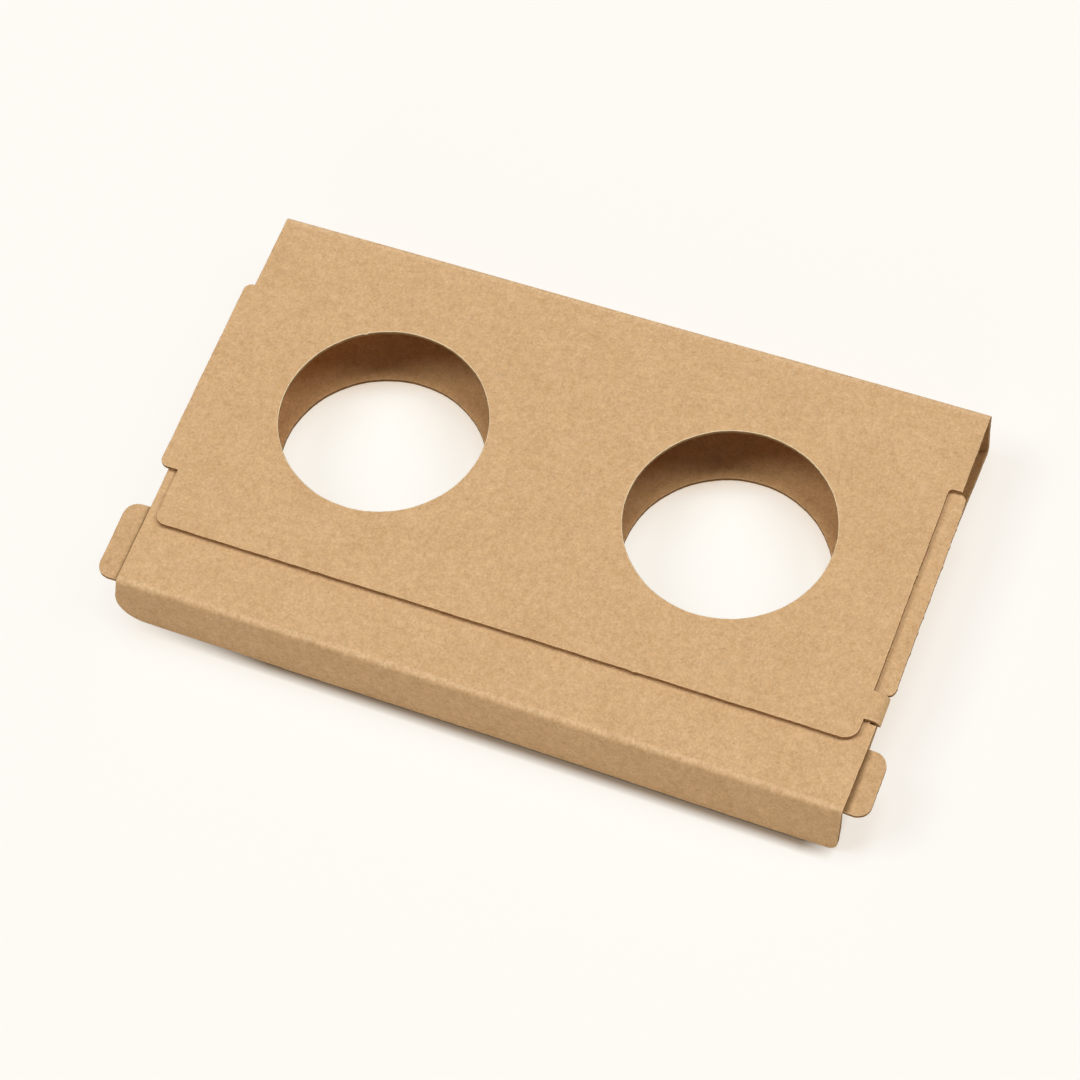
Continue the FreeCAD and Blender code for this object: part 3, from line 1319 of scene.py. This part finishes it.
@dataclass(frozen=True)
class KraftFace:
    """Natural brown face of the board: cloudy pulp, fine grain, short strands and a few specks.

    It carries painted shade inside the sleeve, at its open end and on the ears, painted crease
    highlights and painted shade in the flap's grain. Bands are in millimetres along the blank.
    The sleeve comes first in it and the inner panel last.
    """

    ear_root: float
    ear_band: tuple[float, float]
    crease: tuple[float, float]
    back_crease: tuple[float, float]
    dark: Colour = (0.51, 0.29, 0.122, 1)
    light: Colour = (0.86, 0.58, 0.322, 1)
    tone_range: tuple[float, float] = (0.24, 0.76)
    cloud: PulpLayer = PulpLayer(0.055, 2.0, 0.55, 0.14)
    mottle: PulpLayer = PulpLayer(0.42, 3.0, 0.6, 0.36)
    grain: PulpLayer = PulpLayer(1.25, 2.0, 0.6, 0.50)
    strand_dark: Colour = (0.34, 0.19, 0.085, 1)
    strand_light: Colour = (0.86, 0.67, 0.45, 1)
    dark_share: float = 0.42
    light_share: float = 0.40
    strand_turns: tuple[float, ...] = (8.0, 63.0, 118.0, 161.0)
    light_turn: float = 61.0
    flap_grain_shade: float = 0.24
    speck: Colour = (0.20, 0.10, 0.04, 1)
    speck_share: float = 0.5
    specks_per_mm: float = 0.36
    # Tints and shares of the painted shade inside the sleeve, on the ears and at the open end, and the
    # painted crease highlight
    inside_bounce_shade: Colour = (1.0, 0.93, 0.82, 1)
    crease_highlight: Colour = (0.98, 0.74, 0.48, 1)
    painted_shade_tint: Colour = (0.46, 0.40, 0.32, 1)
    ear_shade: float = 0.12
    end_band: tuple[float, float] = (104.0, 113.0)
    end_shade: float = 0.72
    inner_run: float = 395.0
    bump_depth: float = 0.00012
    gloss: float = 0.25

    def material(self) -> bpy.types.Material:
        """Builds the finish.

        Returns:
            The material.
        """
        nodes = FinishNodes("kraft_face")
        place = nodes.place()
        cloud, mottle, grain = (
            layer.value(nodes, place) for layer in (self.cloud, self.mottle, self.grain)
        )
        tone = nodes.times(cloud, self.cloud.share)
        tone = nodes.plus(tone, nodes.times(mottle, self.mottle.share))
        tone = nodes.plus(tone, nodes.times(grain, self.grain.share))
        colour = nodes.mixed(nodes.mapped(tone, *self.tone_range), self.dark, self.light)
        strands = self.strands(nodes, place)
        pale = self.strands(nodes, place, self.light_turn)
        colour = nodes.mixed(nodes.times(strands, self.dark_share), colour, self.strand_dark)
        colour = nodes.mixed(nodes.times(pale, self.light_share), colour, self.strand_light)
        colour = nodes.mixed(self.specks(nodes, place), colour, self.speck)
        # Painted shade: a warmer, darker tint on the sleeve's inner face, for light bounced inside it
        inside = self.inside(nodes, place)
        colour = nodes.mixed(inside, colour, self.inside_bounce_shade, "MULTIPLY")
        # Painted shade on the sleeve's inner face towards its open right end
        end = nodes.mapped(nodes.axes(place)[0], *self.end_band, 0.0, self.end_shade)
        colour = nodes.mixed(nodes.times(inside, end), colour, self.painted_shade_tint, "MULTIPLY")
        # Grain painted darker on the flap only, as shade of its relief under the low light
        colour = nodes.mixed(self.coarse_flap(nodes, place), colour, self.strand_dark)
        # Painted shade on the ears, darkest where the inner panel's edges lie over them
        colour = nodes.mixed(self.ear_painted_shade(nodes, place), colour, self.painted_shade_tint, "MULTIPLY")
        # Painted highlights along the front and back creases
        for band in (self.crease, self.back_crease):
            colour = nodes.mixed(self.painted_crease_highlight(nodes, place, grain, band), colour, self.crease_highlight)
        height = nodes.plus(nodes.times(grain, 0.6), mottle)
        height = nodes.plus(height, nodes.times(pale, 0.35))
        roughness = nodes.mapped(grain, 0.3, 0.7, 0.78, 0.92)
        return nodes.finish(colour, roughness, height, self.bump_depth, self.gloss)

    def strands(self, nodes: FinishNodes, place: Socket, shift: float = 0.0) -> Socket:
        """Short fibres that lie in several directions.

        Args:
            nodes: The material's nodes.
            place: Place in the blank.
            shift: Shift that makes another set.

        Returns:
            1 on a strand and 0 off it.
        """
        total: object = 0.0
        for turn in self.strand_turns:
            drawn = nodes.stretched(place, turn + shift, 0.28, 1.7, shift + turn)
            line = nodes.noise(drawn, 1.0, 1.0, 0.4)
            away = nodes.unsigned(nodes.maths(MathStep.SUBTRACT, line, 0.5))
            thread = nodes.mapped(away, 0.0, 0.022, 1.0, 0.0)
            patch = nodes.noise(nodes.stretched(place, turn, 0.5, 0.5, shift - turn), 1.0, 1.0)
            total = nodes.plus(total, nodes.times(thread, nodes.mapped(patch, 0.55, 0.66)))
        return nodes.mapped(total, 0.0, 1.0)

    def inside(self, nodes: FinishNodes, place: Socket) -> Socket:
        """The board's lower face in the sleeve, which faces into it and takes painted bounce shade.

        Args:
            nodes: The material's nodes.
            place: Place in the blank.

        Returns:
            1 on that side and 0 elsewhere.
        """
        _, along, depth = nodes.axes(place)
        under = nodes.mapped(depth, -0.3, -0.5)
        return nodes.times(under, nodes.mapped(along, self.inner_run, self.inner_run - 1.0))

    def coarse_flap(self, nodes: FinishNodes, place: Socket) -> Socket:
        """Coarser grain on the flap, darkened as painted shade of what the low light brings out.

        Args:
            nodes: The material's nodes.
            place: Place in the blank.

        Returns:
            Share of the dark strands' colour.
        """
        edge = self.crease[1]
        flap = nodes.mapped(nodes.axes(place)[1], edge - 0.5, edge + 0.5)
        coarse = nodes.noise(nodes.stretched(place, 0, 0.9, 1.5, 17.0), 1.0, 2.0, 0.65)
        return nodes.times(flap, nodes.mapped(coarse, 0.46, 0.72, 0.0, self.flap_grain_shade))

    def painted_crease_highlight(
        self, nodes: FinishNodes, place: Socket, grain: Socket, band: tuple[float, float]
    ) -> Socket:
        """Paler line where a crease has stretched the face.

        Args:
            nodes: The material's nodes.
            place: Place in the blank.
            grain: Fine noise that breaks the line up.
            band: Where the crease begins and ends in the blank.

        Returns:
            Share of the highlight's colour.
        """
        along = nodes.axes(place)[1]
        begin, end = band
        rise = nodes.mapped(along, begin - 0.9, begin)
        fall = nodes.mapped(along, begin + 0.6 * (end - begin), begin + 0.2 * (end - begin))
        broken = nodes.mapped(grain, 0.3, 0.6, 0.02, 0.24)
        return nodes.times(nodes.times(rise, fall), broken)

    def ear_painted_shade(self, nodes: FinishNodes, place: Socket) -> Socket:
        """Painted shade on the ears where the inner panel's edges lie over them, and over each whole
        ear.

        Args:
            nodes: The material's nodes.
            place: Place in the blank.

        Returns:
            Share of the painted shade's tint.
        """
        x, along, _ = nodes.axes(place)
        root, far_root = self.ear_root, -self.ear_root
        soft = nodes.mapped(x, root - 2.6, root - 0.4, 0.0, 0.5)
        line = nodes.mapped(x, root - 1.1, root - 0.7, 0.0, 0.5)
        outside = nodes.mapped(x, root + 2.0, root + 1.0)
        root_shade = nodes.times(nodes.plus(nodes.times(soft, soft), line), outside)
        ears = nodes.mapped(nodes.unsigned(x), far_root - 0.2, far_root, 0.0, self.ear_shade)
        far_side = nodes.mapped(x, far_root + 1.5, far_root - 0.2, 0.0, 0.9)
        near_side = nodes.mapped(x, far_root - 2.0, far_root - 1.0)
        shade = nodes.plus(nodes.plus(root_shade, ears), nodes.times(far_side, near_side))
        begin, end = self.ear_band
        band = nodes.times(nodes.mapped(along, begin - 1, begin), nodes.mapped(along, end + 1, end))
        return nodes.times(shade, band)

    def specks(self, nodes: FinishNodes, place: Socket) -> Socket:
        """Sparse dark specks of bark.

        Args:
            nodes: The material's nodes.
            place: Place in the blank.

        Returns:
            Share of the speck's colour.
        """
        values = {"Vector": place, "Scale": self.specks_per_mm, "Randomness": 1.0}
        cells = nodes.add("ShaderNodeTexVoronoi", values)
        dot = nodes.mapped(cells.outputs["Distance"], 0.05, 0.11, 1.0, 0.0)
        picked = nodes.add("ShaderNodeSeparateColor", {0: cells.outputs["Color"]}).outputs[0]
        return nodes.times(nodes.times(dot, nodes.mapped(picked, 0.62, 0.95)), self.speck_share)


@dataclass(frozen=True)
class CutBoardEdge:
    """Die-cut edge of the board: a darker core between two thin pale bands, partly the board's outer
    plies and partly a painted highlight, with torn fibres.
    """

    name: str = "cut_edge"
    core: Colour = (0.27, 0.135, 0.05, 1)
    core_light: Colour = (0.40, 0.22, 0.09, 1)
    liner_and_highlight: Colour = (0.88, 0.62, 0.36, 1)
    liner_and_highlight_depth: float = 0.09
    half_board: float = 0.65
    roughness: float = 0.9
    bump_depth: float = 0.00008
    gloss: float = 0.2

    @staticmethod
    def hole_rim() -> "CutBoardEdge":
        """The edge round a top cup hole, where a wider pale band, partly a painted highlight, is drawn
        over the cut.
        """
        dark, light, liner_and_highlight = (0.28, 0.155, 0.06, 1), (0.40, 0.24, 0.10, 1), (1.0, 0.80, 0.52, 1)
        return CutBoardEdge("hole_rim", dark, light, liner_and_highlight, 0.34)

    def material(self) -> bpy.types.Material:
        """Builds the finish.

        Returns:
            The material.
        """
        nodes = FinishNodes(self.name)
        place = nodes.place()
        away = nodes.unsigned(nodes.axes(place)[2])
        layers = nodes.noise(nodes.stretched(place, 0, 0.8, 0.8, 3.0), 1.0, 3.0, 0.6)
        fine = nodes.noise(place, 4.2, 2.0, 0.6)
        core = nodes.mixed(nodes.mapped(layers, 0.35, 0.65), self.core, self.core_light)
        core = nodes.mixed(nodes.mapped(fine, 0.35, 0.75, 0.0, 0.35), core, self.core_light)
        wander = nodes.times(nodes.maths(MathStep.SUBTRACT, fine, 0.5), 0.12)
        inner, outer = self.half_board - self.liner_and_highlight_depth, self.half_board - 0.06
        # Pale band at each face of the cut, partly the board's plies and partly a painted highlight
        rim = nodes.mapped(nodes.plus(away, wander), inner, outer)
        colour = nodes.mixed(rim, core, self.liner_and_highlight)
        height = nodes.plus(layers, fine)
        return nodes.finish(colour, self.roughness, height, self.bump_depth, self.gloss)


@dataclass
class CupCarrier:
    """The whole folded carrier, as one piece of board."""

    sizes: CarrierSizes
    joint_count: int = 140

    def build(self) -> bpy.types.Object:
        """Meshes both runs, joins them and dresses them.

        Returns:
            The finished piece.
        """
        board = BoardMesh()
        spring = BoardSpring(self.sizes)
        sleeve, panel = Sleeve(self.sizes), InnerPanelAndFlap(self.sizes)
        sleeve.build(board, spring, self.joint_count)
        panel.build(board, spring, self.joint_count)
        piece = board.to_object("folded_board", self.sizes)
        for finish in (self.face(sleeve, panel), CutBoardEdge(), CutBoardEdge.hole_rim()):
            piece.data.materials.append(finish.material())
        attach(piece, "root")
        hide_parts("cup_carrier")
        log.info("folded_board: %d faces", len(piece.data.polygons))
        return piece

    def face(self, sleeve: Sleeve, panel: InnerPanelAndFlap) -> KraftFace:
        """The face's finish, with its painted crease highlights and its painted shade on the ears
        placed.

        Args:
            sleeve: The run with the ears and the back fold.
            panel: The run with the front fold.

        Returns:
            The finish.
        """
        begins, creased = sleeve.path().begins, panel.path().begins
        ear_start = begins[SleevePart.EAR_PANEL] - self.sizes.fold_outside
        offset = panel.blank_offset
        return KraftFace(
            ear_root=self.sizes.left,
            ear_band=(ear_start, ear_start + self.sizes.left_ear_length),
            crease=(offset + creased[FlapPart.FRONT_FOLD], offset + creased[FlapPart.FLAP]),
            back_crease=(begins[SleevePart.BACK_FOLD], begins[SleevePart.BACK_WALL]),
        )


@dataclass(frozen=True)
class PaleTable:
    """Plain pale surface that the carrier lies on. Bands are in metres.

    The camera sees part of its brightness as an even glow, which no other piece receives. The seen
    colours and the glows are those of the open floor, the floor at the left, the floor under the holes,
    the same near their back rims, and the line along the flap's foot. Their split is painted light or
    shade: it keeps shadows faint at the left, deepens them near the back rims, and along the foot,
    with no glow, it is a painted contact shadow.
    """

    half_width: float = 4.0
    drop: float = 0.00005
    bounce: Colour = (0.79, 0.745, 0.68, 1)
    # Seen share by region: the left's keeps shadows faint, painted light; the rims' deepens them,
    # painted shade; the foot's is a painted shadow
    seen: tuple[Colour, ...] = (
        (0.24, 0.29, 0.34, 1),
        (0.10, 0.12, 0.14, 1),
        (0.26, 0.30, 0.34, 1),
        (0.50, 0.62, 0.70, 1),
        (0.44, 0.36, 0.28, 1),
    )
    glow: tuple[Colour, ...] = (
        (0.756, 0.681, 0.589, 1),
        (0.893, 0.847, 0.785, 1),
        (0.758, 0.696, 0.608, 1),
        (0.543, 0.410, 0.286, 1),
        (0.0, 0.0, 0.0, 1),
    )
    left_band: tuple[float, float] = (-0.106, -0.118)
    rim_band: tuple[float, float] = (0.004, 0.030)
    under_sides: tuple[float, float] = (0.107, 0.100)
    under_ends: tuple[float, float] = (0.058, 0.052)
    foot_left: tuple[float, float] = (-0.110, -0.066)
    foot_right: tuple[float, float] = (0.1145, 0.104)
    foot_back: tuple[float, float] = (-0.055, -0.062)
    foot_line: float = -0.0721
    foot_skew: float = 0.0252
    foot_width: float = 0.0033

    def build(self) -> bpy.types.Object:
        """Makes the floor.

        Returns:
            The floor.
        """
        mesh = bpy.data.meshes.new("pale_table")
        w = self.half_width
        mesh.from_pydata([(-w, -w, 0), (w, -w, 0), (w, w, 0), (-w, w, 0)], [], [(0, 1, 2, 3)])
        table = bpy.data.objects.new("pale_table", mesh)
        table.location.z = -self.drop
        bpy.context.scene.collection.objects.link(table)
        mesh.materials.append(self.material())
        log.info("pale_table: floor")
        return table

    def material(self) -> bpy.types.Material:
        """Builds the floor's finish.

        Returns:
            The material.
        """
        nodes = FinishNodes("pale_table")
        rays = nodes.add("ShaderNodeLightPath", {}).outputs
        direct = nodes.plus(rays["Is Camera Ray"], rays["Is Glossy Ray"])
        direct = nodes.mapped(nodes.plus(direct, rays["Is Transmission Ray"]), 0.0, 1.0)
        x, y, _ = nodes.axes(nodes.add("ShaderNodeNewGeometry", {}).outputs["Position"])
        # Masks of the painted light at the left and of the painted shade near the holes' back rims
        aside, rim = nodes.mapped(x, *self.left_band), nodes.mapped(y, *self.rim_band)
        masks = (aside, self.under(nodes, x, y), rim, self.foot(nodes, x, y))
        seen, glow = (self.toned(nodes, masks, colours) for colours in (self.seen, self.glow))
        matt = nodes.add("ShaderNodeBsdfDiffuse", {"Color": nodes.mixed(direct, self.bounce, seen)})
        light = nodes.add("ShaderNodeEmission", {"Color": glow, "Strength": direct})
        both = nodes.add("ShaderNodeAddShader", {0: matt.outputs[0], 1: light.outputs[0]})
        nodes.add("ShaderNodeOutputMaterial", {"Surface": both.outputs[0]})
        return nodes.material

    def toned(
        self, nodes: FinishNodes, masks: tuple[Socket, ...], colours: tuple[Colour, ...]
    ) -> Socket:
        """One colour over the whole floor, from those of its parts.

        Args:
            nodes: The floor's nodes.
            masks: Masks of the left's painted light, of the floor under the holes, of the painted shade
                at its rims and of the painted shadow at the foot.
            colours: Colours of the open floor and then of those parts.

        Returns:
            The colour.
        """
        aside, under, rim, foot = masks
        colour = nodes.mixed(aside, colours[0], colours[1])
        colour = nodes.mixed(under, colour, nodes.mixed(rim, colours[2], colours[3]))
        return nodes.mixed(foot, colour, colours[4])

    def under(self, nodes: FinishNodes, x: Socket, y: Socket) -> Socket:
        """Floor seen through the cup holes, where less of its brightness is even glow.

        Args:
            nodes: The floor's nodes.
            x: Place along the carrier.
            y: Place across it.

        Returns:
            1 under the carrier and 0 round it.
        """
        sides = nodes.mapped(nodes.unsigned(x), *self.under_sides)
        return nodes.times(sides, nodes.mapped(nodes.unsigned(y), *self.under_ends))

    def foot(self, nodes: FinishNodes, x: Socket, y: Socket) -> Socket:
        """Strip of floor along the flap's foot, which takes a painted contact shadow.

        Args:
            nodes: The floor's nodes.
            x: Place along the carrier.
            y: Place across it.

        Returns:
            1 at the flap and 0 away from it.
        """
        ends = nodes.times(nodes.mapped(x, *self.foot_left), nodes.mapped(x, *self.foot_right))
        line = nodes.plus(y, nodes.times(x, self.foot_skew))
        ahead = nodes.mapped(line, self.foot_line - self.foot_width, self.foot_line)
        return nodes.times(nodes.times(ends, nodes.mapped(line, *self.foot_back)), ahead)


@dataclass(frozen=True)
class SoftLamp:
    """A wide far light. Angles are in degrees, and its share is what it gives a face turned to it."""

    name: str
    azimuth: float
    elevation: float
    spread: float
    share: float
    colour: tuple[float, float, float] = (1.0, 0.99, 0.97)

    def build(self) -> bpy.types.Object:
        """Makes the light.

        Returns:
            The lamp.
        """
        data = bpy.data.lights.new(self.name, "SUN")
        data.angle = math.radians(self.spread)
        data.energy = math.pi * self.share
        data.color = self.colour
        lamp = bpy.data.objects.new(self.name, data)
        towards = direction(self.azimuth, self.elevation)
        lamp.rotation_mode = "QUATERNION"
        lamp.rotation_quaternion = towards.to_track_quat("Z", "Y")
        lamp.location = towards
        bpy.context.scene.collection.objects.link(lamp)
        log.info("%s: lamp", self.name)
        return lamp


def direction(azimuth: float, elevation: float) -> Vector:
    """Direction from the carrier at these angles, in degrees, with azimuth 0 at its front."""
    a, e = math.radians(azimuth), math.radians(elevation)
    return Vector((math.sin(a) * math.cos(e), -math.cos(a) * math.cos(e), math.sin(e)))


@dataclass(frozen=True)
class StudioLight:
    """Even pale room with a high lamp behind, one at each side, and low ones for flap and end."""

    room: Colour = (1.0, 0.99, 0.975, 1)
    room_strength: float = 0.075
    lamps: tuple[SoftLamp, ...] = (
        SoftLamp("back_lamp", 180.0, 74.0, 26.0, 0.345),
        SoftLamp("left_lamp", 284.0, 51.0, 30.0, 0.385),
        SoftLamp("right_lamp", 120.0, 50.0, 28.0, 0.29),
        SoftLamp("low_lamp", 8.0, 12.0, 34.0, 0.215, (1.0, 0.98, 0.94)),
        SoftLamp("end_lamp", 72.0, 18.0, 40.0, 0.04, (1.0, 0.99, 0.975)),
    )

    def build(self) -> bpy.types.World:
        """Makes the world and the lamps.

        Returns:
            The world.
        """
        world = bpy.data.worlds.new("pale_room")
        world.use_nodes = True
        background = world.node_tree.nodes["Background"]
        background.inputs[0].default_value = self.room
        background.inputs[1].default_value = self.room_strength
        bpy.context.scene.world = world
        log.info("pale_room: world")
        for lamp in self.lamps:
            lamp.build()
        return world


@dataclass(frozen=True)
class PhotoCamera:
    """Camera at the photograph's angle. Angles are in degrees and lengths in metres."""

    azimuth: float = 25.363
    elevation: float = 59.430
    roll: float = 5.741
    aim: tuple[float, float, float] = (0.001628, -0.014496, 0.021)
    distance: float = 1.25258
    focal_pixels: float = 4200.0
    frame_pixels: float = 1080.0
    sensor: float = 36.0
    clip: tuple[float, float] = (0.05, 20.0)

    def build(self) -> bpy.types.Object:
        """Makes the camera and sets it as the scene's.

        Returns:
            The camera.
        """
        turn, roll = math.radians(self.azimuth), math.radians(self.roll)
        back = direction(self.azimuth, self.elevation)
        level = Vector((math.cos(turn), math.sin(turn), 0.0))
        down = (-back).cross(level)
        across = math.cos(roll) * level + math.sin(roll) * down
        upward = math.sin(roll) * level - math.cos(roll) * down
        data = bpy.data.cameras.new("photo_camera")
        data.sensor_width = self.sensor
        data.lens = self.sensor * self.focal_pixels / self.frame_pixels
        data.clip_start, data.clip_end = self.clip
        camera = bpy.data.objects.new("photo_camera", data)
        facing = Matrix((across, upward, back)).transposed().to_4x4()
        camera.matrix_world = Matrix.Translation(Vector(self.aim) + back * self.distance) @ facing
        bpy.context.scene.collection.objects.link(camera)
        bpy.context.scene.camera = camera
        log.info("photo_camera: camera")
        return camera


def main() -> None:
    """Builds the carrier, its table, the light and the camera."""
    logging.basicConfig(level=logging.INFO, format="%(name)s: %(message)s")
    bpy.context.scene.view_settings.view_transform = "Standard"
    PhotoCamera().build()
    CupCarrier(CarrierSizes()).build()
    PaleTable().build()
    StudioLight().build()


if __name__ == "__main__":
    main()
